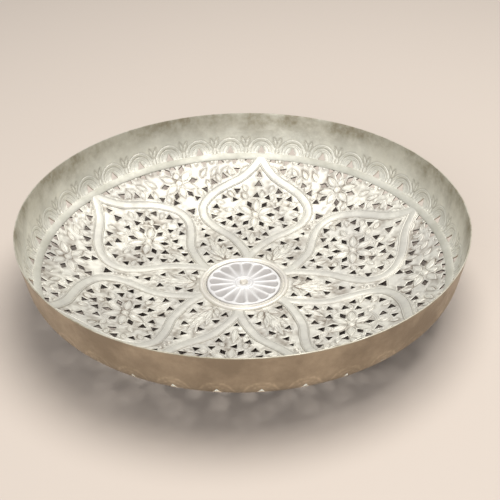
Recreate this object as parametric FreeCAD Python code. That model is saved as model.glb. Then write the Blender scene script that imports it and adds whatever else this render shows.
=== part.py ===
"""Round pierced brass tray: a dished sheet floor with an upright side wall.

Six pieces, all brass, in one body that rests on the flat middle of its floor.
Millimetres, +Z up, origin at the middle of the resting face.
Angles in the hole lists are degrees, counted from +X, anticlockwise from above.
"""
import FreeCAD, Part
import math
import os

UP = FreeCAD.Vector(0, 0, 1)
CENTRE = FreeCAD.Vector(0, 0, 0)

# Sheet and outline
SHEET = 1.0            # thickness of the raised sheet
TRAY_HEIGHT = 69.0     # rim above the resting face
FLAT_RADIUS = 64.2     # flat middle of the floor
FLOOR_BEND = 176.0     # radius of the floor's upward curve, on its underside
SEAM_ANGLE = 34.0      # slope of the floor where it meets the wall
CORNER_BEND = 17.0     # radius of the foot of the wall, on its outside
WALL_ANGLE = 79.5      # slope of the plain collar above the foot
BEAD_RADIUS = 2.5      # half-round bead over the seam inside

# Repeat pattern
LOBES = 6
LOBE_STEP = 360.0 / LOBES
ARCHES = 36
CUT_DEPTH = 60.0       # length of a piercing tool body

# Holes of one lobe. +Y is the lobe's axis and a pair (x, y) is cut on both sides of it.
FLOWER_Y = 101.0
PETAL_RING = 13.6
PETAL = (8.4, 5.0)     # length and width of a petal-shaped hole
TRIANGLE = 5.8         # usual side of a three-cornered hole
LOBE_RING = (
    (22.5, 92), (22.5, 64), (27.0, 43), (20.5, 20), (24.5, -12),
    (23.0, -47), (20.0, -95), (23.5, -137), (22.5, -163), (26.0, 141),
)
LOBE_EDGE = ((5.6, 66), (11.2, 74.8), (27, 87), (36.2, 95), (36, 107), (30, 119), (19, 127.5))
LOBE_AXIS = ((54.5, 4.8), (135.5, 6.6), (144.5, 4.8))

# Holes between two lobes, with +Y midway between their axes
FIELD_AXIS = ((79, 6.0), (88, 4.0), (112.5, 7.6))
FIELD_EDGE = (
    (12.2, 41.5), (11.0, 52.5), (7.4, 67.5), (10.3, 125), (21, 131.5), (31, 135.5), (42.5, 138), (55.5, 139),
)
FIELD_FLOWER_Y = 143.5
BORDER_RADIUS = 158.5
BORDER_ANGLES = (0, 5.4, 10.8, 16.2, 21.2, 25.9)

# Wall arcade
ARCH_HOLE = 7.3        # side of the opening under each arch
ARCH_HOLE_UP = 6.5     # its height above the seam, along the sheet
ARCH_REACH = 4.0       # how far its piercing body goes each side of the sheet

# Centre
MEDALLION_RADIUS = 30.0
MEDALLION_HEIGHT = 1.8
FLUTES = 16
RING_INNER = 30.6
RING_OUTER = 36.6
RING_HEIGHT = 2.0
FLUTE_INNER = 8.0
FLUTE_OUTER = 28.6
FLUTE_SPREAD = 0.165   # half width of a flute for each millimetre out from the centre
FLUTE_DEPTH = 0.7
RIVET_HEAD = 3.4       # radius of the domed head
RIVET_RISE = 1.3       # height of its dome
RIVET_SHANK = 1.6
RIVET_SINK = 0.7       # depth of the countersink that its tail is peened into


def polar(radius, degrees, z=0.0):
    """Point at a radius and angle about the tray's axis."""
    angle = math.radians(degrees)
    return FreeCAD.Vector(radius * math.cos(angle), radius * math.sin(angle), z)


def section_point(centre, radius, slope):
    """Point (r, z) of an arc whose tangent rises at slope degrees."""
    angle = math.radians(slope)
    return (centre[0] + radius * math.sin(angle), centre[1] - radius * math.cos(angle))


def in_plane(point):
    return FreeCAD.Vector(point[0], 0, point[1])


def arc_edge(centre, radius, slope_a, slope_b):
    """Arc of the section from one slope to another."""
    slopes = (slope_a, (slope_a + slope_b) / 2, slope_b)
    points = [in_plane(section_point(centre, radius, slope)) for slope in slopes]
    return Part.Arc(*points).toShape()


def line_edge(point_a, point_b):
    return Part.LineSegment(in_plane(point_a), in_plane(point_b)).toShape()


def revolve(edges):
    """Solid of revolution about Z from the edges of a closed section."""
    face = Part.Face(Part.Wire(Part.__sortEdges__(edges)))
    return face.revolve(CENTRE, UP, 360)


# Centres of the two bends. The underside arc and the inside arc share a centre.
FLOOR_CENTRE = (FLAT_RADIUS, FLOOR_BEND)
SEAM_OUT = section_point(FLOOR_CENTRE, FLOOR_BEND, SEAM_ANGLE)
SEAM_IN = section_point(FLOOR_CENTRE, FLOOR_BEND - SHEET, SEAM_ANGLE)
CORNER_CENTRE = (
    SEAM_OUT[0] - CORNER_BEND * math.sin(math.radians(SEAM_ANGLE)),
    SEAM_OUT[1] + CORNER_BEND * math.cos(math.radians(SEAM_ANGLE)),
)


def rim_point(foot):
    """Where the straight collar that starts at foot reaches the rim."""
    rise = TRAY_HEIGHT - foot[1]
    return (foot[0] + rise / math.tan(math.radians(WALL_ANGLE)), TRAY_HEIGHT)


def floor_sheet():
    """Unpierced floor: flat middle, then one long upward curve to the seam."""
    top = (FLAT_RADIUS, SHEET)
    edges = [
        line_edge((0, 0), (FLAT_RADIUS, 0)),
        arc_edge(FLOOR_CENTRE, FLOOR_BEND, 0, SEAM_ANGLE),
        line_edge(SEAM_OUT, SEAM_IN),
        arc_edge(FLOOR_CENTRE, FLOOR_BEND - SHEET, SEAM_ANGLE, 0),
        line_edge(top, (0, SHEET)),
        line_edge((0, SHEET), (0, 0)),
    ]
    return revolve(edges)


def wall_sheet():
    """Unpierced wall: rounded foot that carries on from the floor, then a straight collar."""
    foot_out = section_point(CORNER_CENTRE, CORNER_BEND, WALL_ANGLE)
    foot_in = section_point(CORNER_CENTRE, CORNER_BEND - SHEET, WALL_ANGLE)
    rim_out = rim_point(foot_out)
    rim_in = rim_point(foot_in)
    edges = [
        arc_edge(CORNER_CENTRE, CORNER_BEND, SEAM_ANGLE, WALL_ANGLE),
        line_edge(foot_out, rim_out),
        line_edge(rim_out, rim_in),
        line_edge(rim_in, foot_in),
        arc_edge(CORNER_CENTRE, CORNER_BEND - SHEET, WALL_ANGLE, SEAM_ANGLE),
        line_edge(SEAM_IN, SEAM_OUT),
    ]
    return revolve(edges)


def hand(number):
    """Steady unevenness of hand cutting, from -1 to 1, different for each number."""
    return math.sin(number * 12.9898) * math.cos(number * 4.1414)


def prism(corners, base, direction):
    """Straight piercing body whose section has the given corners."""
    wire = Part.makePolygon(corners + corners[:1])
    wire.translate(base)
    return Part.Face(wire).extrude(direction)


def upright_prism(corners):
    return prism(corners, UP * (-CUT_DEPTH / 2), UP * CUT_DEPTH * 1.5)


def triangle(place, side, pointing):
    """Three-cornered hole with one corner towards pointing."""
    reach = side / math.sqrt(3)
    return upright_prism([place + polar(reach, pointing + turn) for turn in (0, 120, 240)])


def petal(place, pointing, length, width):
    """Four-cornered hole, longer along pointing."""
    reaches = ((length / 2, 0), (width / 2, 90), (length / 2, 180), (width / 2, 270))
    return upright_prism([place + polar(reach, pointing + turn) for reach, turn in reaches])


def flower(centre, number):
    """Six petal holes around a point."""
    cuts = []
    for index in range(6):
        pointing = 60 * index + 5 * hand(number + index)
        place = centre + polar(PETAL_RING, pointing)
        cuts.append(petal(place, pointing, PETAL[0], PETAL[1]))
    return cuts


def mirrored(places):
    """Each place and its twin across the local axis."""
    return [FreeCAD.Vector(side * x, y, 0) for x, y in places for side in (1, -1)]


def hand_cut(places, number):
    """Three-cornered holes of the usual size, each a little different."""
    cuts = []
    for index, place in enumerate(places):
        key = number + index
        moved = place + FreeCAD.Vector(0.5 * hand(key + 0.3), 0.5 * hand(key + 0.6), 0)
        cuts.append(triangle(moved, TRIANGLE + 0.6 * hand(key), 90 + 60 * hand(key + 0.9)))
    return cuts


def on_axis(rows, pointing):
    return [triangle(FreeCAD.Vector(0, y, 0), side, pointing) for y, side in rows]


def lobe_cuts(number):
    """All the holes inside one lobe."""
    centre = FreeCAD.Vector(0, FLOWER_Y, 0)
    ring = [centre + polar(radius, angle) for radius, angle in LOBE_RING]
    cuts = flower(centre, number)
    cuts += hand_cut(ring, number + 10)
    cuts += hand_cut(mirrored(LOBE_EDGE), number + 30)
    cuts += on_axis(LOBE_AXIS[:1], -90)
    cuts += on_axis(LOBE_AXIS[1:], 90)
    return cuts


def field_cuts(number):
    """All the holes between one lobe and the next, with their half of the border row."""
    sides = [90 + side * angle for angle in BORDER_ANGLES for side in (1, -1)]
    border = [polar(BORDER_RADIUS, angle) for angle in sides[1:]]
    cuts = flower(FreeCAD.Vector(0, FIELD_FLOWER_Y, 0), number)
    cuts += hand_cut(mirrored(FIELD_EDGE), number + 50)
    cuts += hand_cut(border, number + 70)
    cuts += on_axis(FIELD_AXIS[:2], 90)
    cuts += on_axis(FIELD_AXIS[2:], -90)
    return cuts


def turned(shapes, degrees):
    """The same shapes turned about the tray's axis."""
    for shape in shapes:
        shape.rotate(CENTRE, UP, degrees)
    return shapes


def floor_pan():
    """Dished floor with every hole right through and a countersunk hole for the rivet."""
    cuts = [rivet_body()]
    for lobe in range(LOBES):
        cuts += turned(lobe_cuts(lobe * 100), lobe * LOBE_STEP)
        cuts += turned(field_cuts(lobe * 100 + 7), (lobe + 0.5) * LOBE_STEP)
    return floor_sheet().cut(cuts)


def arch_cut():
    """Opening under one arch, square to the sheet, with its point upwards."""
    slope = SEAM_ANGLE + math.degrees(ARCH_HOLE_UP / CORNER_BEND)
    angle = math.radians(slope)
    along = FreeCAD.Vector(math.cos(angle), 0, math.sin(angle))
    across = FreeCAD.Vector(0, 1, 0)
    outward = FreeCAD.Vector(math.sin(angle), 0, -math.cos(angle))
    middle = in_plane(section_point(CORNER_CENTRE, CORNER_BEND, slope))
    apex = along * ARCH_HOLE * 0.58
    foot = along * ARCH_HOLE * -0.4
    half = across * (ARCH_HOLE / 2)
    corners = [apex, foot + half, foot - half]
    return prism(corners, middle - outward * ARCH_REACH, outward * (2 * ARCH_REACH))


def side_wall():
    """Upright wall with one opening under each arch of its foot."""
    cuts = []
    for index in range(ARCHES):
        cut = arch_cut()
        cut.rotate(CENTRE, UP, index * 360.0 / ARCHES)
        cuts.append(cut)
    return wall_sheet().cut(cuts)


def corner_bead():
    """Half-round bead lying over the seam, shaped to the floor and the foot of the wall."""
    round_bar = Part.makeTorus(SEAM_IN[0], BEAD_RADIUS)
    round_bar.translate(UP * SEAM_IN[1])
    start = section_point(FLOOR_CENTRE, FLOOR_BEND - SHEET, SEAM_ANGLE - 5)
    end = section_point(CORNER_CENTRE, CORNER_BEND - SHEET, WALL_ANGLE)
    outside = (end[0], start[1])
    below = revolve([
        arc_edge(FLOOR_CENTRE, FLOOR_BEND - SHEET, SEAM_ANGLE - 5, SEAM_ANGLE),
        arc_edge(CORNER_CENTRE, CORNER_BEND - SHEET, SEAM_ANGLE, WALL_ANGLE),
        line_edge(end, outside),
        line_edge(outside, start),
    ])
    return round_bar.cut(below)


def flute_cut():
    """One flute: widens from the hub outwards and ends in a half circle."""
    tip = FLUTE_OUTER - FLUTE_OUTER * FLUTE_SPREAD
    narrow = FLUTE_INNER * FLUTE_SPREAD
    wide = tip * FLUTE_SPREAD
    corners = [(FLUTE_INNER, -narrow), (tip, -wide), (tip, wide), (FLUTE_INNER, narrow)]
    wedge = Part.makePolygon([FreeCAD.Vector(x, y, 0) for x, y in corners + corners[:1]])
    flute = Part.Face(wedge).extrude(UP * MEDALLION_HEIGHT)
    flute = flute.fuse(Part.makeCylinder(wide, MEDALLION_HEIGHT, FreeCAD.Vector(tip, 0, 0)))
    flute.translate(UP * (SHEET + MEDALLION_HEIGHT - FLUTE_DEPTH))
    return flute


def centre_medallion():
    """Fluted disc: sunk flutes with thin ridges left between them, around a raised hub."""
    disc = Part.makeCylinder(MEDALLION_RADIUS, MEDALLION_HEIGHT, UP * SHEET)
    cuts = [rivet_body()]
    for index in range(FLUTES):
        flute = flute_cut()
        flute.rotate(CENTRE, UP, index * 360.0 / FLUTES)
        cuts.append(flute)
    return disc.cut(cuts)


def medallion_ring():
    """Half-round ring around the medallion."""
    middle = (RING_INNER + RING_OUTER) / 2
    top = SHEET + RING_HEIGHT
    crown = Part.Arc(in_plane((RING_INNER, SHEET)), in_plane((middle, top)), in_plane((RING_OUTER, SHEET)))
    return revolve([crown.toShape(), line_edge((RING_OUTER, SHEET), (RING_INNER, SHEET))])


def rivet_body():
    """Domed rivet: head on the medallion, shank through both sheets, tail peened flush below."""
    seat = SHEET + MEDALLION_HEIGHT
    dome = (RIVET_HEAD ** 2 + RIVET_RISE ** 2) / (2 * RIVET_RISE)
    head = Part.makeSphere(dome, UP * (seat + RIVET_RISE - dome))
    head = head.common(Part.makeCylinder(dome, dome, UP * seat))
    shank = Part.makeCylinder(RIVET_SHANK, seat, CENTRE)
    tail = Part.makeCone(RIVET_SHANK + RIVET_SINK, RIVET_SHANK, RIVET_SINK)
    return head.fuse([shank, tail]).removeSplitter()


def export(name, shape):
    """One STEP file for each piece."""
    print(name, "solids", len(shape.Solids), "volume mm3", round(shape.Volume))
    shape.exportStep(os.path.join("parts", name + ".step"))


os.makedirs("parts", exist_ok=True)
export("floor_pan", floor_pan())
export("side_wall", side_wall())
export("corner_bead", corner_bead())
export("centre_medallion", centre_medallion())
export("medallion_ring", medallion_ring())
export("centre_rivet", rivet_body())
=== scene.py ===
import math
import bmesh
import bpy
import numpy as np
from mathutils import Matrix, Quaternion, Vector, noise
from mathutils.geometry import delaunay_2d_cdt


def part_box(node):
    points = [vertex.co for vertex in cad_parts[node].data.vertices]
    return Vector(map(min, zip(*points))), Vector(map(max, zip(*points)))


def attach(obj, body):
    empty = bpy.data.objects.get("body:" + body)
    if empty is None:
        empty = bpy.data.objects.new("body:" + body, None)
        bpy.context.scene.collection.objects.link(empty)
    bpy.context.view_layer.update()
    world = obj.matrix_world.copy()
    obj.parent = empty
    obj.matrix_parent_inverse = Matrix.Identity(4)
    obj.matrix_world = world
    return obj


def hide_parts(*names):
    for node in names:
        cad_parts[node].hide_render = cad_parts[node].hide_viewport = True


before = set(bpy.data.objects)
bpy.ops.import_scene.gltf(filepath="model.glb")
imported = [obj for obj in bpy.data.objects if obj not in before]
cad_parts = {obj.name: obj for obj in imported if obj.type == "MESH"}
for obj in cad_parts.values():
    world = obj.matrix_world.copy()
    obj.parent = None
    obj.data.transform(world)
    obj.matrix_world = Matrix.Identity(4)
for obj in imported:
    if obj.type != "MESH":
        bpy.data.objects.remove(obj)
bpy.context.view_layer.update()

# ---- Pierced floor ------------------------------------------------------------------
# One brass sheet raised into a shallow dish, chased from above with six lobes of flowers
# and leaves, then pierced with a small chisel. Built here as a panel inside each lobe and
# one between each two, which meet under the straps. Lengths are millimetres.
MM = 0.001
SHEET = 1.0
FLAT = 64.2                    # radius of the flat middle
BEND = 176.0                   # underside radius of the upward curve
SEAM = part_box("floor_pan")[1].x / MM
LOBES = 6
STEP = 360 / LOBES
FLOWER = 101.0
FIELD_FLOWER = 143.5
PETAL_RING = 13.6
TRIANGLE = 6.3
LOBE_RING = ((22.5, 92), (22.5, 64), (27, 43), (20.5, 20), (24.5, -12),
             (23, -47), (20, -95), (23.5, -137), (22.5, -163), (26, 141))
LOBE_EDGE = ((5.6, 66), (11.2, 74.8), (27, 87), (36.2, 95), (36, 107), (30, 119), (19, 127.5))
LOBE_AXIS = ((54.5, 5.2), (135.5, 7.2), (144.5, 5.4))
FIELD_AXIS = ((79, 6.0), (88, 4.0), (112.5, 7.6))
FIELD_EDGE = ((12.2, 41.5), (11, 52.5), (7.4, 67.5), (10.3, 125),
              (21, 131.5), (31, 135.5), (42.5, 138), (55.5, 139))
BORDER = 158.5
BORDER_ANGLES = (0, 5.4, 10.8, 16.2, 21.2, 25.9)
STRAP_LINE = ((0.3, 34.5), (1.6, 42), (7, 53), (17.7, 68.3), (32.5, 80), (43.3, 90.8), (47.3, 103),
              (44.5, 114), (37.2, 124.5), (27.2, 133), (16, 141), (7.5, 150), (0.5, 160), (0.2, 161.8))
STRAP_HALF = 4.4
RELIEF = 0.72                  # how much of the drawn relief the worn sheet still shows
HOLE_REACH = 9                 # no part of a hole is farther than this from what it affects
LINE_REACH = 4.6               # greatest distance from an edge that the tool lines follow
TOP_GRAIN = 0.62               # spacing of the surface points, upper and under side
UNDER_GRAIN = 2.3


def polar(radius, degrees):
    angle = math.radians(degrees)
    return np.array((radius * math.cos(angle), radius * math.sin(angle)))


def turned(points, degrees):
    """Plan points or solid points turned about the tray's axis."""
    angle = math.radians(degrees)
    c, s = math.cos(angle), math.sin(angle)
    result = np.array(points, float)
    x, y = result[:, 0].copy(), result[:, 1].copy()
    result[:, 0] = c * x - s * y
    result[:, 1] = s * x + c * y
    return result


def hand(number):
    """Steady unevenness of hand cutting, from -1 to 1."""
    return math.sin(number * 12.9898) * math.cos(number * 4.1414)


def triangle(place, side, pointing):
    return [place + polar(side / math.sqrt(3), pointing + turn) for turn in (0, 120, 240)]


def petal_hole(place, pointing):
    reaches = ((4.2, 0), (2.5, 90), (4.2, 180), (2.5, 270))
    return [place + polar(reach, pointing + turn) for reach, turn in reaches]


def flower_holes(centre, number):
    holes = []
    for index in range(6):
        pointing = 60 * index + 5 * hand(number + index)
        holes.append(petal_hole(centre + polar(PETAL_RING, pointing), pointing))
    return holes


def mirrored(places):
    return [np.array((side * x, y)) for x, y in places for side in (1, -1)]


def hand_cut(places, number):
    holes = []
    for index, place in enumerate(places):
        key = number + index
        moved = place + np.array((0.5 * hand(key + 0.3), 0.5 * hand(key + 0.6)))
        holes.append(triangle(moved, TRIANGLE + 0.6 * hand(key), 90 + 60 * hand(key + 0.9)))
    return holes


def lobe_holes(number):
    centre = np.array((0, FLOWER))
    holes = flower_holes(centre, number)
    holes += hand_cut([centre + polar(r, a) for r, a in LOBE_RING], number + 10)
    holes += hand_cut(mirrored(LOBE_EDGE), number + 30)
    holes += [triangle(np.array((0, y)), side, 90 if i else -90) for i, (y, side) in enumerate(LOBE_AXIS)]
    return holes


def field_holes(number):
    angles = [90 + side * angle for angle in BORDER_ANGLES for side in (1, -1)][1:]
    holes = flower_holes(np.array((0, FIELD_FLOWER)), number)
    holes += hand_cut(mirrored(FIELD_EDGE), number + 50)
    holes += hand_cut([polar(BORDER, angle) for angle in angles], number + 70)
    for i, (y, side) in enumerate(FIELD_AXIS):
        holes.append(triangle(np.array((0, y)), side, -90 if i == 2 else 90))
    return holes


def smooth_line(points, spacing):
    """Catmull-Rom curve through the points, sampled evenly."""
    nodes = np.array([points[0], *points, points[-1]], float)
    dense = []
    for a, b, c, d in zip(nodes, nodes[1:], nodes[2:], nodes[3:]):
        for t in np.linspace(0, 1, 24, endpoint=False):
            dense.append(0.5 * (2 * b + (c - a) * t + (2 * a - 5 * b + 4 * c - d) * t * t
                                + (3 * b - a - 3 * c + d) * t ** 3))
    dense = np.array(dense + [nodes[-1]])
    run = np.r_[0, np.cumsum(np.hypot(*np.diff(dense, axis=0).T))]
    even = np.linspace(0, run[-1], int(run[-1] / spacing) + 1)
    return np.c_[np.interp(even, run, dense[:, 0]), np.interp(even, run, dense[:, 1])]


def on_dish(plan, rise, under=False):
    """Plan points lifted onto the inside or the underside of the dish, rise along its normal. Metres."""
    radius = BEND if under else BEND - SHEET
    far = np.maximum(np.hypot(plan[:, 0], plan[:, 1]), 1e-6)
    slope = np.clip((far - FLAT) / radius, 0, 0.9)
    level = np.sqrt(1 - slope ** 2)
    height = BEND - radius * level + level * rise
    out = plan - plan * (slope * rise / far)[:, None]
    return np.c_[out, height] * MM


def edge_distance(points, loop):
    """Distance from each point to a closed outline."""
    best = np.full(len(points), 1e9)
    for a, b in zip(loop, np.roll(loop, -1, axis=0)):
        run = b - a
        t = np.clip(((points - a) @ run) / max(run @ run, 1e-12), 0, 1)
        best = np.minimum(best, np.hypot(*(points - a - t[:, None] * run).T))
    return best


def inside(points, loop):
    """Whether each point lies inside a closed outline."""
    result = np.zeros(len(points), bool)
    x, y = points.T
    for (ax, ay), (bx, by) in zip(loop, np.roll(loop, -1, axis=0)):
        crosses = (ay > y) != (by > y)
        with np.errstate(divide="ignore", invalid="ignore"):
            result ^= crosses & (x < ax + (y - ay) * (bx - ax) / (by - ay))
    return result


def chiselled(corners, number):
    """Hole outline with slightly blunted corners and uneven sides."""
    points = []
    for index, corner in enumerate(corners):
        following = corners[(index + 1) % len(corners)]
        run = following - corner
        bulge = 0.14 * hand(number + index * 3.7)
        side = np.array((run[1], -run[0])) / math.hypot(*run)
        points += [corner + run * 0.045, corner + run * 0.5 + side * bulge, corner + run * 0.955]
    return np.array(points)


def lattice(low, high, spacing):
    """Close-packed rows of points over a rectangle."""
    rows = np.arange(low[1], high[1], spacing * math.sqrt(3) / 2)
    points = []
    for index, y in enumerate(rows):
        start = low[0] + spacing / 2 * (index % 2)
        xs = np.arange(start, high[0], spacing)
        points.append(np.c_[xs, np.full(len(xs), y)])
    return np.concatenate(points)


def cut_sheet(outline, holes, rings, spacing):
    """Plan triangles of a pierced panel. The outline and holes come first in the points, in order."""
    loops = [outline, *holes]
    points = list(np.concatenate(loops))
    edges = []
    start = 0
    for loop in loops:
        edges += [(start + i, start + (i + 1) % len(loop)) for i in range(len(loop))]
        start += len(loop)
    fill = lattice(outline.min(0), outline.max(0), spacing)
    keep = inside(fill, outline) & (edge_distance(fill, outline) > 0.45 * spacing)
    gap = (max(rings) if rings else 0) + 0.5 * spacing
    extra = []
    for index, hole in enumerate(holes):
        middle = hole.mean(0)
        near = np.hypot(*(fill - middle).T) < HOLE_REACH
        far = np.full(len(fill), 99.0)
        far[near] = edge_distance(fill[near], hole)
        keep &= (far > gap) & ~(near & inside(fill, hole))
        apothem = edge_distance(middle[None], hole)[0]
        for ring in rings:
            wider = middle + (hole - middle) * (1 + ring / apothem)
            good = inside(wider, outline) & (edge_distance(wider, outline) > 0.3)
            for other in range(len(holes)):
                if other != index and math.dist(holes[other].mean(0), middle) < 12:
                    good &= (edge_distance(wider, holes[other]) > 0.35) & ~inside(wider, holes[other])
            extra.append(wider[good])
    points = np.concatenate([points, *extra, fill[keep]])
    made = delaunay_2d_cdt([Vector(p) for p in points], edges, [], 4, 1e-4)
    names = [min(ids) for ids in made[3]]
    corners = np.array([[names[i] for i in face] for face in made[2]])
    middles = points[corners].mean(1)
    solid = np.ones(len(corners), bool)
    for hole in holes:
        near = np.hypot(*(middles - hole.mean(0)).T) < HOLE_REACH
        solid[near] &= ~inside(middles[near], hole)
    return points, corners[solid], loops


def leaf(points, base, tip, width, rise):
    """Height of one chased leaf: rounded blade, sunk vein, groove cut round it."""
    run = np.array(tip, float) - base
    length = math.hypot(*run)
    ahead = run / length
    offset = points - base
    along = offset @ ahead / length
    across = np.abs(offset @ np.array((-ahead[1], ahead[0])))
    half = width / 2 * np.sin(np.pi * np.clip(along, 0, 1) ** 0.8)
    past = np.maximum(np.maximum(-along, along - 1), 0) * length
    depth = half - across - past
    blade = rise * (1 - np.exp(-(np.maximum(depth, 0) / 0.8) ** 2))
    vein = 0.5 * rise * np.exp(-(across / 0.45) ** 2) * (depth > 0.5)
    groove = 0.3 * np.exp(-((depth + 0.4) / 0.4) ** 2)
    return blade - vein - groove, np.abs(depth)


def boss(points, centre, radius, rise):
    """Height of a punched dome with a groove round it."""
    far = np.hypot(*(points - centre).T)
    dome = rise * np.sqrt(np.clip(1 - (far / radius) ** 2, 0, 1))
    return dome - 0.28 * np.exp(-((far - radius - 0.4) / 0.4) ** 2), np.abs(far - radius)


def chase(height, lines, marks):
    """Adds marks to the relief: raised work covers, grooves sink what is lower. The distance
    to the nearest outline, which the fine tool lines follow, is kept beside the height."""
    for mark, border in marks:
        lines = np.minimum(lines, border)
        height = np.where(mark > 0.02, np.maximum(height, mark), height + np.minimum(mark, 0))
    return height, lines


def flower_marks(points, centre, reaches):
    marks = [boss(points, centre, 3.0, 1.0)]
    for index, reach in enumerate(reaches):
        angle = 30 + 60 * index
        marks.append(leaf(points, centre + polar(3.8, angle), centre + polar(reach, angle), 6.6, 0.75))
    return marks


def lobe_marks(points):
    """All the chasing inside one lobe."""
    centre = np.array((0, FLOWER))
    marks = flower_marks(points, centre, [18.6] * 6)
    far = np.hypot(*(points - centre).T)
    marks.append((0.42 * np.exp(-((far - 19.3) / 0.5) ** 2), np.abs(far - 19.3)))
    angles = sorted(angle % 360 for _, angle in LOBE_RING)
    for a, b in zip(angles, angles[1:] + [angles[0] + 360]):
        middle = (a + b) / 2
        marks.append(leaf(points, centre + polar(20.2, middle), centre + polar(28.5, middle + 4), 4.8, 0.65))
    for side in (1, -1):
        row = [*LOBE_EDGE, (5.5, 134)]
        for (ax, ay), (bx, by) in zip(row, row[1:]):
            middle = np.array((side * (ax + bx) / 2, (ay + by) / 2))
            inward = (centre - middle) / math.dist(centre, middle)
            if math.dist(centre, middle) > 29:
                marks.append(leaf(points, middle - inward * 3.4, middle + inward * 4.6, 4.4, 0.6))
    marks.append(leaf(points, (0, 59), (0, 77.5), 5.6, 0.7))
    marks.append(leaf(points, (0, 140.6), (0, 141.8), 3, 0.4))
    return marks


def field_marks(points):
    """All the chasing between two lobes: palmette near the ring, flower and sprays near the wall."""
    marks = flower_marks(points, np.array((0, FIELD_FLOWER)), (17, 10.5, 17, 17, 15.5, 17))
    marks.append(leaf(points, (0, 41), (0, 75), 8.6, 0.8))
    for side in (1, -1):
        marks.append(leaf(points, (side * 1.5, 46), (side * 8.2, 61.5), 4.8, 0.7))
        marks.append(leaf(points, (side * 1.5, 39.5), (side * 9.2, 47), 4.2, 0.65))
        marks.append(leaf(points, (side * 1.0, 61), (side * 6.6, 73.5), 3.2, 0.5))
        row = FIELD_EDGE[3:]
        for (ax, ay), (bx, by) in zip(row, row[1:]):
            middle = np.array((side * (ax + bx) / 2, (ay + by) / 2))
            outward = polar(1, math.degrees(math.atan2(middle[1], middle[0])) + side * 14)
            marks.append(leaf(points, middle - outward * 2.6, middle + outward * 6.5, 4.8, 0.65))
        for angle in (8.6, 12.4, 16.2, 20, 23.2):
            base = polar(145.5, 90 - side * angle)
            marks.append(leaf(points, base, polar(153.5, 90 - side * (angle + 2.6)), 4.6, 0.65))
        for a, b in zip(BORDER_ANGLES, BORDER_ANGLES[1:]):
            marks.append(boss(points, polar(BORDER, 90 - side * (a + b) / 2), 1.5, 0.55))
    for y in (95.5, 100.5, 105):
        marks.append(boss(points, (0, y), 1.3, 0.5))
    return marks


def hammered(points, size, seed):
    """Uneven hammering, from about -1 to 1, over plan points or solid points in millimetres."""
    flat = np.c_[points, np.full(len(points), float(seed))] if points.shape[1] == 2 else points + seed
    return np.array([noise.noise(Vector(p / size)) for p in flat]) * 2


def hole_lip(near, raised, sunk):
    """Metal pushed up a little way from a cut edge and dragged down at the edge itself."""
    return raised * np.exp(-((near - 0.95) / 0.75) ** 2) - sunk * np.exp(-(near / 0.4) ** 2)


def relief(points, outline, holes, marks, seed):
    """Height of the chased surface over the plain dish, and the distances its tool lines follow."""
    near = np.full(len(points), 99.0)
    for hole in holes:
        close = np.hypot(*(points - hole.mean(0)).T) < HOLE_REACH
        near[close] = np.minimum(near[close], edge_distance(points[close], hole))
    height, lines = chase(np.zeros(len(points)), np.minimum(near, LINE_REACH), marks(points))
    height = RELIEF * height * (1 - np.exp(-(near / 1.0) ** 2)) + hole_lip(near, 0.18, 0.14)
    height *= np.clip((edge_distance(points, outline) - 3.2) / 1.6, 0, 1)
    height += 0.16 * hammered(points, 9, seed) + 0.09 * hammered(points, 3.2, seed + 5)
    return height, lines


def mesh_object(name, points, faces, **kept):
    """Mesh object from metres, smooth but sharp along cut edges, with values kept as attributes."""
    mesh = bpy.data.meshes.new(name)
    mesh.from_pydata(points.tolist(), [], [list(map(int, face)) for face in faces])
    for label, values in kept.items():
        mesh.attributes.new(label, "FLOAT", "POINT").data.foreach_set("value", values.astype(np.float32))
    mesh.polygons.foreach_set("use_smooth", [True] * len(mesh.polygons))
    mesh.set_sharp_from_angle(angle=math.radians(42))
    mesh.update()
    piece = bpy.data.objects.new(name, mesh)
    bpy.context.scene.collection.objects.link(piece)
    return piece


def panel(outline, holes, marks, seed, turn):
    """Closed solid panel of the floor: points, faces and the values kept with the points."""
    top_plan, top_faces, loops = cut_sheet(outline, holes, (0.45, 0.95), TOP_GRAIN)
    under_plan, under_faces, _ = cut_sheet(outline, holes, (), UNDER_GRAIN)
    top_rise, lines = relief(top_plan, outline, holes, marks, seed)
    under_rise = np.maximum(relief(under_plan, outline, holes, marks, seed)[0], 0) * 0.45
    edge = sum(len(loop) for loop in loops)
    under_rise[:edge] = 0
    top = on_dish(top_plan, top_rise)
    under = on_dish(under_plan, under_rise, under=True)
    under[:, 2] = np.maximum(under[:, 2], 0)
    shift = len(top)
    walls = []
    start = 0
    for loop in loops:
        for i in range(len(loop)):
            a, b = start + i, start + (i + 1) % len(loop)
            walls.append((b, a, shift + a, shift + b))
        start += len(loop)
    faces = [*top_faces, *(under_faces[:, ::-1] + shift), *walls]
    points = turned(np.r_[top, under], turn)
    # The underside's values sit 0.3 lower, so its material gives it more of its dark tone: painted shade
    # under the sheet.
    return points, faces, {"relief": np.r_[top_rise, under_rise - 0.3], "lines": np.r_[lines, under_rise * 0]}


def wound(loop, anticlockwise=True):
    """The outline, made to run the asked way round."""
    x, y = loop.T
    area = np.sum(x * np.roll(y, -1) - y * np.roll(x, -1))
    return loop if (area > 0) == anticlockwise else loop[::-1]


def joined(parts):
    """Several closed solids as one mesh."""
    faces = []
    start = 0
    for part_points, part_faces, _ in parts:
        faces += [tuple(np.array(face) + start) for face in part_faces]
        start += len(part_points)
    kept = {label: np.concatenate([part[2][label] for part in parts]) for label in parts[0][2]}
    return np.concatenate([part[0] for part in parts]), faces, kept


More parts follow.
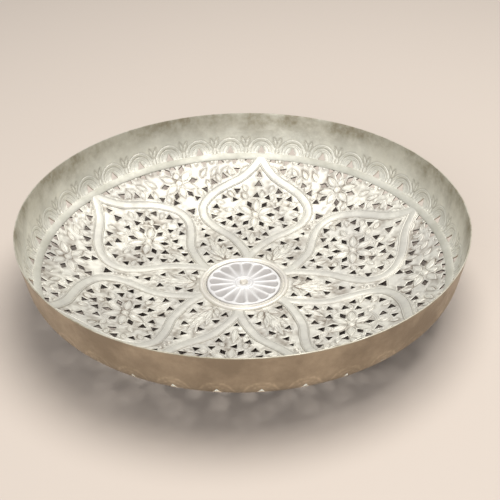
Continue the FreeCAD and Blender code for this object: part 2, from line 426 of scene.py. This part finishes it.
half_strap = smooth_line(STRAP_LINE, 1.0)
half_strap[:, 0] = np.maximum(half_strap[:, 0], 0.15)
foot = half_strap[0] * (0, 1)
tip = np.array((0, SEAM - 0.4))
lobe_outline = wound(np.concatenate([[foot], half_strap, [tip], (half_strap * (-1, 1))[::-1]]))
right_side = turned(half_strap * (-1, 1), -STEP / 2)
left_side = turned(half_strap, STEP / 2)
inner_arc = np.array([polar(foot[1], 90 + a) for a in np.linspace(STEP / 2, -STEP / 2, 25)])
outer_arc = np.array([polar(SEAM, 90 + a) for a in np.linspace(-STEP / 2, STEP / 2, 121)])
right_tip = turned([tip], -STEP / 2)
left_tip = turned([tip], STEP / 2)
field_sides = [inner_arc, right_side, right_tip, outer_arc, left_tip, left_side[::-1]]
field_outline = wound(np.concatenate(field_sides))



def cut_loops(holes, number):
    """The holes' outlines as the chisel leaves them."""
    return [wound(chiselled(hole, number + i), False) for i, hole in enumerate(holes)]


panels = []
for lobe in range(LOBES):
    cuts = cut_loops(lobe_holes(lobe * 100), lobe * 50)
    points, faces, kept = panel(lobe_outline, cuts, lobe_marks, lobe * 3.1, lobe * STEP)
    panels.append(mesh_object(f"lobe_panel_{lobe + 1}", points, faces, **kept))
    cuts = cut_loops(field_holes(lobe * 100 + 7), lobe * 50)
    points, faces, kept = panel(field_outline, cuts, field_marks, lobe * 3.1 + 1.5, (lobe + 0.5) * STEP)
    panels.append(mesh_object(f"field_panel_{lobe + 1}", points, faces, **kept))
rivet_hole = wound(np.array([polar(2.4, a) for a in range(0, 360, 15)]), False)
middle = wound(np.array([polar(foot[1], 90 + a) for a in np.arange(0, 360, 2.5)]))
points, faces, kept = panel(middle, [rivet_hole], lambda p: [], 40, 0)
panels.append(mesh_object("middle_panel", points, faces, **kept))


TOOL_LINE = 1.15               # spacing of the fine chased lines, millimetres


def aged_brass(name, bright, dull, grime_and_shade, high=None, patch=30, shine=0.46, metallic=0.62, dent=0.35):
    """Worn brass: bright where rubbed, duller in patches, dark in the chasing, and darker still as painted
    shade where a piece's relief values are set below its surface. With high, a second pair of tones and two
    heights in metres between which they take over."""
    material = bpy.data.materials.new(name)
    material.use_nodes = True
    nodes, links = material.node_tree.nodes, material.node_tree.links
    shader = nodes["Principled BSDF"]
    place = nodes.new("ShaderNodeTexCoord")

    def mottling(scale, detail, roughness=0.6):
        texture = nodes.new("ShaderNodeTexNoise")
        texture.inputs["Scale"].default_value = scale
        texture.inputs["Detail"].default_value = detail
        texture.inputs["Roughness"].default_value = roughness
        links.new(place.outputs["Object"], texture.inputs["Vector"])
        return texture.outputs["Fac"]

    def ramp(factor, low, high_end, start=0.4, stop=0.6):
        tone = nodes.new("ShaderNodeValToRGB")
        for element, position, colour in zip(tone.color_ramp.elements, (start, stop), (low, high_end)):
            element.position = position
            element.color = (*colour, 1)
        links.new(factor, tone.inputs["Fac"])
        return tone.outputs["Color"]

    def span(factor, low, high_end, to_low=0.0, to_high=1.0):
        fitted = nodes.new("ShaderNodeMapRange")
        ends = {"From Min": low, "From Max": high_end, "To Min": to_low, "To Max": to_high}
        for label, value in ends.items():
            fitted.inputs[label].default_value = value
        links.new(factor, fitted.inputs["Value"])
        return fitted.outputs["Result"]

    def blend(factor, first, second, kind="MIX"):
        mixed = nodes.new("ShaderNodeMix")
        mixed.data_type = "RGBA"
        mixed.blend_type = kind
        for label, value in (("Factor", factor), ("A", first), ("B", second)):
            if isinstance(value, bpy.types.NodeSocket):
                links.new(value, mixed.inputs[label])
            elif label == "Factor":
                mixed.inputs[label].default_value = value
            else:
                mixed.inputs[label].default_value = (*value, 1)
        return mixed.outputs["Result"]

    patches = mottling(patch, 9, 0.62)
    colour = ramp(patches, dull, bright)
    if high:
        (high_bright, high_dull), start, stop = high
        level = nodes.new("ShaderNodeSeparateXYZ")
        links.new(place.outputs["Object"], level.inputs[0])
        wander = nodes.new("ShaderNodeMath")
        wander.operation = "MULTIPLY_ADD"
        wander.inputs[1].default_value = 0.022
        links.new(mottling(22, 6), wander.inputs[0])
        links.new(level.outputs["Z"], wander.inputs[2])
        takes_over = span(wander.outputs[0], start + 0.011, stop + 0.011)
        colour = blend(takes_over, colour, ramp(patches, high_dull, high_bright))
    colour = blend(span(mottling(230, 4), 0.35, 0.75, 0, 0.35), colour, dull)
    height = nodes.new("ShaderNodeAttribute")
    height.attribute_name = "relief"
    # Low relief takes the dark tone: patina in the chasing, and painted shade where a piece's values are set
    # lower on its underside or outside.
    colour = blend(span(height.outputs["Fac"], -0.42, 0.06), grime_and_shade, colour)
    colour = blend(span(height.outputs["Fac"], 0.25, 0.9, 0, 0.6), colour, bright)
    across = nodes.new("ShaderNodeAttribute")
    across.attribute_name = "lines"
    wave = across.outputs["Fac"]
    fade = span(wave, 2 * TOOL_LINE, 1.3 * TOOL_LINE)
    for operation, value in (("MULTIPLY", math.tau / TOOL_LINE), ("SINE", 0), ("MULTIPLY", fade)):
        step = nodes.new("ShaderNodeMath")
        step.operation = operation
        links.new(wave, step.inputs[0])
        if value is fade:
            links.new(fade, step.inputs[1])
        else:
            step.inputs[1].default_value = value
        wave = step.outputs[0]
    colour = blend(span(wave, 0.2, 1.0, 0, 0.38), colour, grime_and_shade)
    links.new(colour, shader.inputs["Base Color"])
    links.new(span(patches, 0.3, 0.7, shine + 0.18, shine), shader.inputs["Roughness"])
    bump = nodes.new("ShaderNodeBump")
    bump.inputs["Strength"].default_value = dent
    bump.inputs["Distance"].default_value = 0.0006
    links.new(mottling(400, 5), bump.inputs["Height"])
    tooling = nodes.new("ShaderNodeBump")
    tooling.invert = True
    tooling.inputs["Strength"].default_value = 0.6
    tooling.inputs["Distance"].default_value = 0.0002
    links.new(wave, tooling.inputs["Height"])
    links.new(bump.outputs["Normal"], tooling.inputs["Normal"])
    links.new(tooling.outputs["Normal"], shader.inputs["Normal"])
    shader.inputs["Metallic"].default_value = metallic
    return material


def finish_and_shade_sheet(piece, top, back, cut):
    """Brass on faces that look up, a darker copy on the underside as painted shade, and a near-black one in
    the cuts, painted shade over some real grime. The cuts are the only four-sided faces."""
    for finish in (top, back, cut):
        piece.data.materials.append(finish)
    normals = np.zeros(len(piece.data.polygons) * 3)
    sides = np.zeros(len(piece.data.polygons), np.int32)
    piece.data.polygons.foreach_get("normal", normals)
    piece.data.polygons.foreach_get("loop_total", sides)
    chosen = np.where(sides == 4, 2, normals[2::3] < 0).astype(np.int32)
    piece.data.polygons.foreach_set("material_index", chosen)


floor_brass = aged_brass("floor_brass", (0.80, 0.78, 0.70), (0.60, 0.585, 0.54),
                         (0.22, 0.18, 0.14), shine=0.5)
# Underside brass: painted shade, a dark copy of the floor brass.
underside_painted_shade = aged_brass("underside_painted_shade", (0.30, 0.23, 0.15), (0.18, 0.13, 0.09),
                        (0.07, 0.05, 0.04), shine=0.45)
# Brass of the cuts: painted shade inside the holes, over some real grime.
cut_painted_shade = aged_brass("cut_painted_shade", (0.09, 0.06, 0.04), (0.06, 0.04, 0.03),
                       (0.03, 0.02, 0.02), shine=0.55)
for piece in panels:
    finish_and_shade_sheet(piece, floor_brass, underside_painted_shade, cut_painted_shade)
    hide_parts("floor_pan")
    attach(piece, "root")

# ---- Strapwork ------------------------------------------------------------------------
# Flat brass band worked up in the sheet, with a raised line along each edge. It outlines
# the six lobes: two sides rise from a shared stem at the middle and meet in a point at the
# wall. One side is shaped flat, cut on the lobe's axis, mirrored, and laid on the dish.
STRAP_SECTION = ((0, 0.74), (1.1, 0.72), (2.0, 0.64), (2.6, 0.5), (2.95, 0.38), (3.25, 0.44),
                 (3.6, 0.66), (3.95, 0.62), (4.2, 0.4), (STRAP_HALF, 0.05))
STRAP_SINK = 0.3


def strap_side():
    """One half of a lobe's band, flat: across and along in x and y, rise in z."""
    ahead = np.gradient(half_strap, axis=0)
    ahead /= np.hypot(*ahead.T)[:, None]
    across = np.c_[ahead[:, 1], -ahead[:, 0]]
    section = [(-o, r) for o, r in STRAP_SECTION[:0:-1]] + list(STRAP_SECTION)
    section += [(STRAP_HALF, -STRAP_SINK), (0, -STRAP_SINK), (-STRAP_HALF, -STRAP_SINK)]
    work = bmesh.new()
    rows = []
    for place, side in zip(half_strap, across):
        rows.append([work.verts.new((*(place + side * offset), rise)) for offset, rise in section])
    for row, following in zip(rows, rows[1:]):
        for i in range(len(section)):
            j = (i + 1) % len(section)
            work.faces.new((row[i], row[j], following[j], following[i]))
    work.faces.new(rows[0])
    work.faces.new(rows[-1])
    return work


band = strap_side()
bmesh.ops.bisect_plane(band, geom=band.verts[:] + band.edges[:] + band.faces[:], plane_co=(0, 0, 0),
                       plane_no=(-1, 0, 0), clear_outer=True, dist=1e-4)
bmesh.ops.mirror(band, geom=band.verts[:] + band.edges[:] + band.faces[:], axis="X", merge_dist=0.01)
bmesh.ops.remove_doubles(band, verts=band.verts, dist=0.01)
bmesh.ops.recalc_face_normals(band, faces=band.faces)
flat_band = np.array([vert.co for vert in band.verts])
band_faces = [[vert.index for vert in face.verts] for face in band.faces]
band.free()
centre_line = np.r_[half_strap, half_strap * (-1, 1)]
to_edge = STRAP_HALF - np.array([np.hypot(*(centre_line - place).T).min() for place in flat_band[:, :2]])
straps = []
for lobe in range(LOBES):
    rise = flat_band[:, 2] + (0.12 * hammered(flat_band[:, :2], 7, lobe * 3.7)) * (flat_band[:, 2] > 0)
    laid = on_dish(flat_band[:, :2], rise)
    straps.append((turned(laid, lobe * STEP), band_faces,
                   {"relief": flat_band[:, 2] - 0.35, "lines": np.maximum(to_edge, 0)}))
points, faces, kept = joined(straps)
strapwork = mesh_object("strapwork", points, faces, **kept)
strapwork.data.materials.append(aged_brass("strap_brass", (0.67, 0.655, 0.59), (0.53, 0.515, 0.475),
                                           (0.36, 0.32, 0.26), shine=0.5))
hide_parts("floor_pan")
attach(strapwork, "root")

# ---- Upright wall -----------------------------------------------------------------------
# The same brass turned up through a rounded corner to a plain hammered rim. The corner is
# chased with a row of double arches, one pierced hole under each and leaves between. One
# bay with its arch is shaped here and repeated round the tray.
ARCHES = 36
BAY = 360 / ARCHES
CORNER_BEND = 17.0
SEAM_SLOPE = 34.0
WALL_SLOPE = 79.5
TRAY_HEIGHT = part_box("side_wall")[1].z / MM
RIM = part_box("side_wall")[1].x / MM
TURN_LENGTH = math.radians(WALL_SLOPE - SEAM_SLOPE) * CORNER_BEND
RISE_R, RISE_Z = math.cos(math.radians(WALL_SLOPE)), math.sin(math.radians(WALL_SLOPE))
BEND_R = SEAM - CORNER_BEND * math.sin(math.radians(SEAM_SLOPE))
BEND_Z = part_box("side_wall")[0].z / MM + CORNER_BEND * math.cos(math.radians(SEAM_SLOPE))
SLANT = TURN_LENGTH + (TRAY_HEIGHT - BEND_Z + CORNER_BEND * RISE_R) / RISE_Z
UNROLL = 168.0                 # radius at which the bay is drawn flat
ARCH_HOLE = 7.3
ARCH_HOLE_UP = 6.5


def on_wall(plan, rise, outside=False):
    """Points of the flat bay (round, up) put on the inside or outside of the wall. Metres."""
    around = math.pi / 2 + plan[:, 0] / UNROLL
    up = plan[:, 1]
    slope = math.radians(SEAM_SLOPE) + np.minimum(up, TURN_LENGTH) / CORNER_BEND
    beyond = np.maximum(up - TURN_LENGTH, 0)
    depth = CORNER_BEND - (0 if outside else SHEET) - rise
    r = BEND_R + np.sin(slope) * depth + beyond * RISE_R
    z = BEND_Z - np.cos(slope) * depth + beyond * RISE_Z
    return np.c_[r * np.cos(around), r * np.sin(around), np.minimum(z, TRAY_HEIGHT)] * MM


def arch_line(plan, centre, half, height, foot, width, rise):
    """Raised line in the form of a round-headed arch."""
    x = plan[:, 0] - centre
    y = plan[:, 1] - foot
    ring = np.hypot(x / half, np.maximum(y, 0) / height) - 1
    away = np.abs(ring) * min(half, height)
    line = rise * np.exp(-(away / width) ** 2) - 0.3 * rise * np.exp(-((away - 1.6 * width) / width) ** 2)
    return line * (y > -0.5), away + 9.0 * (y < 0)


def bay_relief(plan):
    height = np.zeros(len(plan))
    half = UNROLL * math.radians(BAY / 2)
    marks = [arch_line(plan, 0, 11.6, 12.6, 4.4, 0.75, 0.6), arch_line(plan, 0, 8.4, 9.2, 4.0, 0.6, 0.4)]
    for side in (1, -1):
        for lean in (1, -1):
            marks.append(leaf(plan, (side * half, 9.0), (side * half + lean * 3.4, 19.5), 2.6, 0.3))
        marks.append(leaf(plan, (side * half, 3.2), (side * half, 9.5), 3.0, 0.4))
    near = edge_distance(plan, arch_hole)
    height, lines = chase(height, np.minimum(near, LINE_REACH), marks)
    return height * (1 - np.exp(-(near / 1.0) ** 2)) + hole_lip(near, 0.3, 0.12), lines


half_bay = UNROLL * math.radians(BAY / 2)
bottom = np.linspace(-half_bay, half_bay, 21)
sides = np.linspace(0, SLANT - 0.6, 36)
bay_outline = np.array([(x, 0) for x in bottom] + [(half_bay, y) for y in sides[1:]]
                       + [(x, sides[-1]) for x in bottom[-2::-1]] + [(-half_bay, y) for y in sides[-2:0:-1]])
arch_hole = wound(chiselled([np.array((0, ARCH_HOLE_UP + 0.58 * ARCH_HOLE)),
                             np.array((-ARCH_HOLE / 2, ARCH_HOLE_UP - 0.4 * ARCH_HOLE)),
                             np.array((ARCH_HOLE / 2, ARCH_HOLE_UP - 0.4 * ARCH_HOLE))], 5), False)
in_plan, in_faces, _ = cut_sheet(bay_outline, [arch_hole], (0.45, 0.95), 1.05)
out_plan, out_faces, _ = cut_sheet(bay_outline, [arch_hole], (), 1.7)
in_rise, in_lines = bay_relief(in_plan)
out_rise = 0.22 * np.clip(bay_relief(out_plan)[0], 0, 1)
for plan, rises in ((in_plan, in_rise), (out_plan, out_rise)):
    rises *= np.clip(plan[:, 1] / 3, 0, 1)
inner = on_wall(in_plan, in_rise)
outer = on_wall(out_plan, out_rise, outside=True)
rim_rows = []
for r, z in ((RIM - 0.14, TRAY_HEIGHT - 0.14), (RIM - 0.5, TRAY_HEIGHT), (RIM - 0.92, TRAY_HEIGHT - 0.1)):
    around = math.pi / 2 + bottom[::-1] / UNROLL
    rim_rows.append(np.c_[r * np.cos(around), r * np.sin(around), np.full(21, z)] * MM)
shift, rim_start = len(inner), len(inner) + len(outer)
bay_points = np.concatenate([inner, outer, *rim_rows])
bay_faces = [face[::-1] for face in in_faces] + [face + shift for face in out_faces]
for i in range(20):
    bay_faces.append((i, i + 1, shift + i + 1, shift + i))
top_edge = list(range(20 + 35, 20 + 35 + 21))
rows = [[shift + i for i in top_edge]]
rows += [[rim_start + 21 * k + i for i in range(21)] for k in range(3)]
rows.append(top_edge)
for row, following in zip(rows, rows[1:]):
    for i in range(20):
        bay_faces.append((row[i + 1], row[i], following[i], following[i + 1]))
hole_start = len(bay_outline)
for i in range(len(arch_hole)):
    a, b = hole_start + i, hole_start + (i + 1) % len(arch_hole)
    bay_faces.append((a, b, shift + b, shift + a))
# The outside's values sit 0.2 lower, so its material gives it more of its dark tone: painted shade on the
# outside of the wall.
bay_heights = np.r_[in_rise, out_rise - 0.2, np.full(63, 0.3)]
bay_mesh = mesh_object("wall_bay", bay_points, bay_faces, relief=bay_heights,
                       lines=np.r_[in_lines, np.zeros(len(out_rise) + 63)])
rim_faces = range(len(in_faces) + len(out_faces) + 20, len(bay_faces) - len(arch_hole))
is_outside = [i >= len(in_faces) and i not in rim_faces for i in range(len(bay_faces))]
bay_mesh.data.attributes.new("outside", "BOOLEAN", "FACE").data.foreach_set("value", is_outside)


def ring_of_copies():
    """Node tree: copies of the shape round the axis, joined, with an uneven hammered surface."""
    tree = bpy.data.node_groups.new("ring_of_copies", "GeometryNodeTree")
    sockets = (("Shape", "Geometry"), ("Copies", "Int"), ("Dent depth", "Float"), ("Dent size", "Float"),
               ("Still below", "Float"), ("Seed", "Float"), ("Finish", "Material"),
               ("Outside material", "Material"))
    for label, kind in sockets:
        tree.interface.new_socket(label, in_out="INPUT", socket_type="NodeSocket" + kind)
    tree.interface.new_socket("Shape", in_out="OUTPUT", socket_type="NodeSocketGeometry")

    def node(kind, **settings):
        made = tree.nodes.new(kind)
        for label, value in settings.items():
            setattr(made, label, value)
        return made

    def math_node(operation, first, second):
        made = node("ShaderNodeMath", operation=operation)
        for socket, value in zip(made.inputs, (first, second)):
            if isinstance(value, (int, float)):
                socket.default_value = value
            else:
                tree.links.new(value, socket)
        return made.outputs[0]

    enter, leave = node("NodeGroupInput"), node("NodeGroupOutput")
    spots = node("GeometryNodeMeshLine")
    spots.inputs["Offset"].default_value = (0, 0, 0)
    tree.links.new(enter.outputs["Copies"], spots.inputs["Count"])
    turn = node("ShaderNodeCombineXYZ")
    step = math_node("DIVIDE", math.tau, enter.outputs["Copies"])
    tree.links.new(math_node("MULTIPLY", node("GeometryNodeInputIndex").outputs[0], step), turn.inputs["Z"])
    copies = node("GeometryNodeInstanceOnPoints")
    tree.links.new(spots.outputs[0], copies.inputs["Points"])
    tree.links.new(enter.outputs["Shape"], copies.inputs["Instance"])
    tree.links.new(turn.outputs[0], copies.inputs["Rotation"])
    real = node("GeometryNodeRealizeInstances")
    tree.links.new(copies.outputs[0], real.inputs[0])
    weld = node("GeometryNodeMergeByDistance")
    weld.inputs["Distance"].default_value = 0.00003
    tree.links.new(real.outputs[0], weld.inputs["Geometry"])
    dents = node("ShaderNodeTexNoise", noise_dimensions="4D")
    dents.inputs["Detail"].default_value = 2
    tree.links.new(enter.outputs["Seed"], dents.inputs["W"])
    tree.links.new(math_node("DIVIDE", 1, enter.outputs["Dent size"]), dents.inputs["Scale"])
    position = node("GeometryNodeInputPosition")
    parts = node("ShaderNodeSeparateXYZ")
    tree.links.new(position.outputs[0], parts.inputs[0])
    above = math_node("SUBTRACT", parts.outputs["Z"], enter.outputs["Still below"])
    fade = math_node("MINIMUM", math_node("MAXIMUM", math_node("DIVIDE", above, 0.008), 0), 1)
    depth = math_node("MULTIPLY", math_node("MULTIPLY", dents.outputs[0], enter.outputs["Dent depth"]), fade)
    inward = node("ShaderNodeVectorMath", operation="NORMALIZE")
    level = node("ShaderNodeCombineXYZ")
    tree.links.new(parts.outputs["X"], level.inputs["X"])
    tree.links.new(parts.outputs["Y"], level.inputs["Y"])
    tree.links.new(level.outputs[0], inward.inputs[0])
    push = node("ShaderNodeVectorMath", operation="SCALE")
    tree.links.new(inward.outputs[0], push.inputs[0])
    tree.links.new(math_node("MULTIPLY", depth, -1), push.inputs["Scale"])
    dented = node("GeometryNodeSetPosition")
    tree.links.new(weld.outputs[0], dented.inputs["Geometry"])
    tree.links.new(push.outputs[0], dented.inputs["Offset"])
    finish = node("GeometryNodeSetMaterial")
    tree.links.new(dented.outputs[0], finish.inputs["Geometry"])
    tree.links.new(enter.outputs["Finish"], finish.inputs["Material"])
    back = node("GeometryNodeSetMaterial")
    side = node("GeometryNodeInputNamedAttribute", data_type="BOOLEAN")
    side.inputs["Name"].default_value = "outside"
    tree.links.new(finish.outputs[0], back.inputs["Geometry"])
    tree.links.new(side.outputs["Attribute"], back.inputs["Selection"])
    tree.links.new(enter.outputs["Outside material"], back.inputs["Material"])
    tree.links.new(back.outputs[0], leave.inputs[0])
    return tree


copies_tree = ring_of_copies()


def ring_from(source, name, **settings):
    """Runs the tree on one shape and keeps the result as a plain mesh."""
    maker = source.modifiers.new("ring", "NODES")
    maker.node_group = copies_tree
    for item in copies_tree.interface.items_tree:
        if item.in_out == "INPUT" and item.name in settings:
            maker[item.identifier] = settings[item.name]
    graph = bpy.context.evaluated_depsgraph_get()
    mesh = bpy.data.meshes.new_from_object(source.evaluated_get(graph), depsgraph=graph)
    bpy.data.objects.remove(source)
    mesh.name = name
    piece = bpy.data.objects.new(name, mesh)
    bpy.context.scene.collection.objects.link(piece)
    return piece


wall_inside = aged_brass("wall_brass", (0.92, 0.90, 0.81), (0.74, 0.73, 0.66), (0.46, 0.43, 0.36),
                         high=(((0.54, 0.51, 0.42), (0.27, 0.23, 0.15)), 0.045, 0.064), dent=0.5)
# Outside brass: painted shade, a darker and browner copy of the inside brass.
wall_outside_painted_shade = aged_brass("wall_outside_painted_shade_brass", (0.80, 0.64, 0.45), (0.48, 0.38, 0.26), (0.14, 0.10, 0.07),
                          patch=24, shine=0.42, dent=0.5)
settings = {"Copies": ARCHES, "Dent depth": 0.0006, "Dent size": 0.03, "Still below": BEND_Z * MM,
            "Seed": 3.0, "Finish": wall_inside, "Outside material": wall_outside_painted_shade}
side_wall = ring_from(bay_mesh, "wall_sheet", **settings)
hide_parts("side_wall")
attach(side_wall, "root")

# ---- Corner bead --------------------------------------------------------------------------
# Low rounded brass moulding, worked with a hammer round the corner where the floor turns up
# into the wall. It covers the seam and sinks a little into the sheet below it.
def lathe(name, section, steps, unevenness=0.0):
    """Closed ring from a section of (radius, height), anticlockwise, with slightly uneven hammering."""
    points, faces = [], []
    count = len(section)
    for i in range(steps):
        around = math.tau * i / steps
        for r, z in section:
            points.append((r * math.cos(around), r * math.sin(around), z))
        for k in range(count):
            a, b = i * count + k, i * count + (k + 1) % count
            c, d = (b + count) % (steps * count), (a + count) % (steps * count)
            faces.append((a, d, c, b))
    points = np.array(points)
    if unevenness:
        points[:, 2] += unevenness * hammered(points, 9, 1.7) * (points[:, 2] > points[:, 2].min() + 0.4)
    return mesh_object(name, points * MM, faces, relief=points[:, 2] * 0 + 0.2)


SEAM_R = SEAM - SHEET * math.sin(math.radians(SEAM_SLOPE))
SEAM_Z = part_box("side_wall")[0].z / MM + SHEET * math.cos(math.radians(SEAM_SLOPE))
BEAD_HALF, BEAD_RISE = 3.5, 0.8
bead_section = []
for s, h in [(-BEAD_HALF, -0.3), (BEAD_HALF, -0.3)] + [
        (BEAD_HALF * math.cos(t), 0.1 + BEAD_RISE * math.sin(t)) for t in np.linspace(0, math.pi, 13)]:
    tilt = math.radians(SEAM_SLOPE)
    bead_section.append((SEAM_R + s * math.cos(tilt) - h * math.sin(tilt),
                         SEAM_Z + s * math.sin(tilt) + h * math.cos(tilt)))
corner_bead = lathe("bead", bead_section, 540, 0.12)
corner_bead.data.materials.append(aged_brass("bead_brass", (0.60, 0.59, 0.53), (0.48, 0.47, 0.41),
                                             (0.38, 0.35, 0.29), shine=0.6))
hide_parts("corner_bead")
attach(corner_bead, "root")

# ---- Medallion -----------------------------------------------------------------------------
# Disc with sixteen hollow flutes round a ringed hub, hammered into a mould and set in the
# middle of the floor. One flute is shaped here and repeated.
FLUTES = 16
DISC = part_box("centre_medallion")[1].x / MM
DISC_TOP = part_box("centre_medallion")[1].z / MM
HUB_HOLE = 1.7


def soft_step(x):
    x = np.clip(x, 0, 1)
    return x * x * (3 - 2 * x)


def flute_height(r, q):
    """Top of the disc at radius r; q runs from 0 in the middle of a flute to 1 on the ridge."""
    end = DISC - 1.5 - 2.4 * q ** 2
    hollow = (0.4 + 0.5 * soft_step((r - 8) / 18)) * (1 - q ** 3.2)
    hollow *= soft_step((end - r) / 1.3) * soft_step((r - 7.6) / 2.2)
    rolled = 0.75 * soft_step((r - DISC + 0.9) / 0.9)
    ditch = 0.4 * np.exp(-((r - 7.2) / 0.45) ** 2) + 0.35 * soft_step((5.6 - r) / 0.8)
    return DISC_TOP - 0.05 - hollow - rolled - ditch


flute_rows = np.r_[HUB_HOLE, 2.6, 3.6, np.linspace(4.4, 9, 13), np.linspace(9.6, DISC - 4.2, 16),
                   np.linspace(DISC - 3.9, DISC, 15)]
flute_cols = np.sin(np.linspace(-math.pi / 2, math.pi / 2, 21))
half_flute = math.pi / FLUTES
points, heights = [], []
for r in flute_rows:
    for q in flute_cols:
        z = float(flute_height(np.array(r), abs(q)))
        around = q * half_flute
        points.append((r * math.cos(around), r * math.sin(around), z))
        heights.append(z - DISC_TOP + 0.35)
for r in (DISC, HUB_HOLE):
    for q in flute_cols:
        points.append((r * math.cos(q * half_flute), r * math.sin(q * half_flute), SHEET))
        heights.append(-0.4)
count, last = len(flute_cols), len(flute_rows) - 1
faces = []
for row in range(last + 2):
    a, b = row * count, (row + 1) * count
    faces += [(a + k, b + k, b + k + 1, a + k + 1) for k in range(count - 1)]
inner_foot = (last + 2) * count
faces += [(inner_foot + k, k, k + 1, inner_foot + k + 1) for k in range(count - 1)]
flute = mesh_object("flute", np.array(points) * MM, faces, relief=np.array(heights))
medallion_brass = aged_brass("medallion_brass", (0.78, 0.77, 0.76), (0.67, 0.66, 0.66),
                             (0.44, 0.42, 0.41), shine=0.58)
settings = {"Copies": FLUTES, "Dent depth": 0.0, "Dent size": 0.01, "Still below": 0.0, "Seed": 8.0,
            "Finish": medallion_brass, "Outside material": medallion_brass}
medallion = ring_from(flute, "fluted_disc", **settings)
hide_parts("centre_medallion")
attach(medallion, "root")

# ---- Medallion ring ------------------------------------------------------------------------
# Two raised brass mouldings, a narrow one inside a wide one, chased side by side round the
# fluted disc so that they frame it and cover its edge.
RING_IN = 30.6
RING_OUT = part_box("medallion_ring")[1].x / MM
RING_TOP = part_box("medallion_ring")[1].z / MM
ring_section = [(RING_IN, SHEET - 0.2), (RING_OUT, SHEET - 0.2), (RING_OUT, SHEET + 0.2)]
ring_section += [(RING_OUT - 0.15, 1.7), (RING_OUT - 0.55, 2.4), (RING_OUT - 1.2, 2.82),
                 (RING_OUT - 2.0, RING_TOP), (RING_OUT - 2.9, 2.86), (RING_OUT - 3.5, 2.5),
                 (RING_OUT - 3.85, 2.1), (RING_OUT - 4.15, 2.1), (RING_OUT - 4.45, 2.5),
                 (RING_OUT - 4.9, 2.82), (RING_OUT - 5.35, 2.75), (RING_IN + 0.25, 2.3), (RING_IN, 1.7)]
medallion_ring = lathe("ring_moulding", ring_section, 288, 0.1)
medallion_ring.data.materials.append(aged_brass("ring_brass", (0.80, 0.77, 0.69), (0.64, 0.61, 0.56),
                                                (0.42, 0.37, 0.30)))
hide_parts("medallion_ring")
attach(medallion_ring, "root")

# ---- Centre rivet ---------------------------------------------------------------------------
# Small domed brass rivet. It is hammered over the hub and holds the disc on the floor, and
# its foot is beaten flush with the underside.
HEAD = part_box("centre_rivet")[1].x / MM
HEAD_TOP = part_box("centre_rivet")[1].z / MM
rivet_section = [(0.02, 0.0), (2.2, 0.02), (1.7, 0.7), (1.6, 1.2), (1.6, DISC_TOP - 0.4),
                 (HEAD - 0.3, DISC_TOP - 0.4), (HEAD, DISC_TOP), (HEAD - 0.3, DISC_TOP + 0.7),
                 (HEAD - 1.0, DISC_TOP + 1.35), (HEAD - 2.0, HEAD_TOP - 0.2), (0.02, HEAD_TOP - 0.05)]
centre_rivet = lathe("rivet", rivet_section, 48)
centre_rivet.data.materials.append(aged_brass("rivet_brass", (0.86, 0.82, 0.74), (0.62, 0.58, 0.52),
                                              (0.36, 0.32, 0.26)))
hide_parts("centre_rivet")
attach(centre_rivet, "root")

# ---- Camera, light and table ---------------------------------------------------------
# A broad soft lamp hangs almost overhead and another stands in front. The plain pale table
# is set 2 mm below the tray, so that the light that falls through the holes doesn't show in
# them. The tray is looked at from the front, from a third of the way up.
VIEW_AZIMUTH, VIEW_ELEVATION, VIEW_DISTANCE, VIEW_ROLL = 6.0, 33.9, 0.848, -0.8
camera = bpy.data.cameras.new("camera")
camera.lens = 71.3
camera.clip_start = 0.01
camera_object = bpy.data.objects.new("camera", camera)
bpy.context.scene.collection.objects.link(camera_object)
target = Vector((0.0001, 0.0509, 0))
a, e = math.radians(VIEW_AZIMUTH), math.radians(VIEW_ELEVATION)
direction = Vector((math.sin(a) * math.cos(e), -math.cos(a) * math.cos(e), math.sin(e)))
camera_object.location = target + direction * VIEW_DISTANCE
facing = direction.to_track_quat("Z", "Y")
camera_object.rotation_mode = "QUATERNION"
camera_object.rotation_quaternion = facing @ Quaternion((0, 0, 1), math.radians(VIEW_ROLL))
bpy.context.scene.camera = camera_object


def soft_light(name, place, aim, size, power, colour=(1, 1, 1)):
    """Round soft lamp that faces the point it aims at."""
    lamp = bpy.data.lights.new(name, "AREA")
    lamp.shape = "DISK"
    lamp.size = size
    lamp.energy = power
    lamp.color = colour
    lamp_object = bpy.data.objects.new(name, lamp)
    bpy.context.scene.collection.objects.link(lamp_object)
    lamp_object.location = place
    lamp_object.rotation_mode = "QUATERNION"
    lamp_object.rotation_quaternion = (Vector(place) - Vector(aim)).to_track_quat("Z", "Y")


soft_light("key", (0.22, 0.15, 1.5), (0, 0, 0.03), 1.2, 28.5, (1, 0.98, 0.95))
soft_light("front", (-0.6, -2.2, 1.2), (0, 0, 0.05), 1.6, 32)
world = bpy.data.worlds.new("room")
world.use_nodes = True
world.node_tree.nodes["Background"].inputs["Color"].default_value = (0.95, 0.97, 1, 1)
world.node_tree.nodes["Background"].inputs["Strength"].default_value = 0.25
bpy.context.scene.world = world
bpy.context.scene.view_settings.view_transform = "Standard"

table = bpy.data.meshes.new("table")
reach, table_top = 6.0, -0.002
table_corners = [(x * reach, y * reach, table_top) for x, y in ((-1, -1), (1, -1), (1, 1), (-1, 1))]
table.from_pydata(table_corners, [], [(0, 1, 2, 3)])
table_object = bpy.data.objects.new("table", table)
bpy.context.scene.collection.objects.link(table_object)
table_paint = bpy.data.materials.new("table_paint")
table_paint.use_nodes = True
table_paint.node_tree.nodes["Principled BSDF"].inputs["Base Color"].default_value = (0.56, 0.49, 0.43, 1)
table_paint.node_tree.nodes["Principled BSDF"].inputs["Roughness"].default_value = 0.7
table.materials.append(table_paint)
